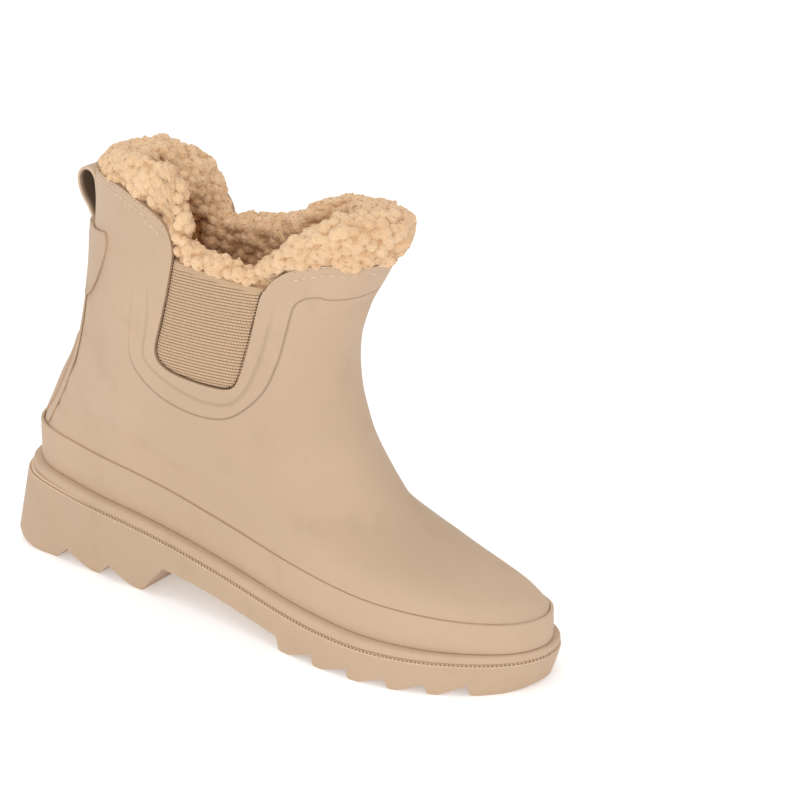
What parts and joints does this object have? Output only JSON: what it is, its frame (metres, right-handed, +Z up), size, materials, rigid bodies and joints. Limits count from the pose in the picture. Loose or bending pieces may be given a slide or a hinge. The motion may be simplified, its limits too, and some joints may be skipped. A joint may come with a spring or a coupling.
{
  "type": "rain boot",
  "caption": "Right ankle-high rubber rain boot with elastic side gores, deep fleece lining rolled over the collar, heel pull loop and lugged sole.",
  "frame": {"origin": "middle of the bounding box, on the floor", "axes": "+X to the toe, +Y to the medial side, +Z up"},
  "size_m": [0.2944, 0.0836, 0.213],
  "materials": {
    "outsole": "matte, fine grain",
    "welt": "matte, fine grain",
    "rand": "matte, fine grain",
    "upper": "matte, fine grain",
    "gore_lateral": "ribbed elastic webbing",
    "gore_medial": "ribbed elastic webbing",
    "fleece_lining": "deep curly pile",
    "insole": "deep curly pile",
    "heel_strip": "matte, fine grain",
    "heel_plate": "matte, fine grain",
    "loop_patch": "matte, fine grain",
    "pull_loop": "matte, fine grain"
  },
  "bodies": {
    "root": {"outsole": "outsole", "welt": "welt", "rand": "rand", "upper": "upper", "gore_lateral": "gore_lateral", "gore_medial": "gore_medial", "fleece_lining": "fleece_lining", "insole": "insole", "heel_strip": "heel_strip", "heel_plate": "heel_plate", "loop_patch": "loop_patch", "pull_loop": "pull_loop"}
  },
  "joints": []
}
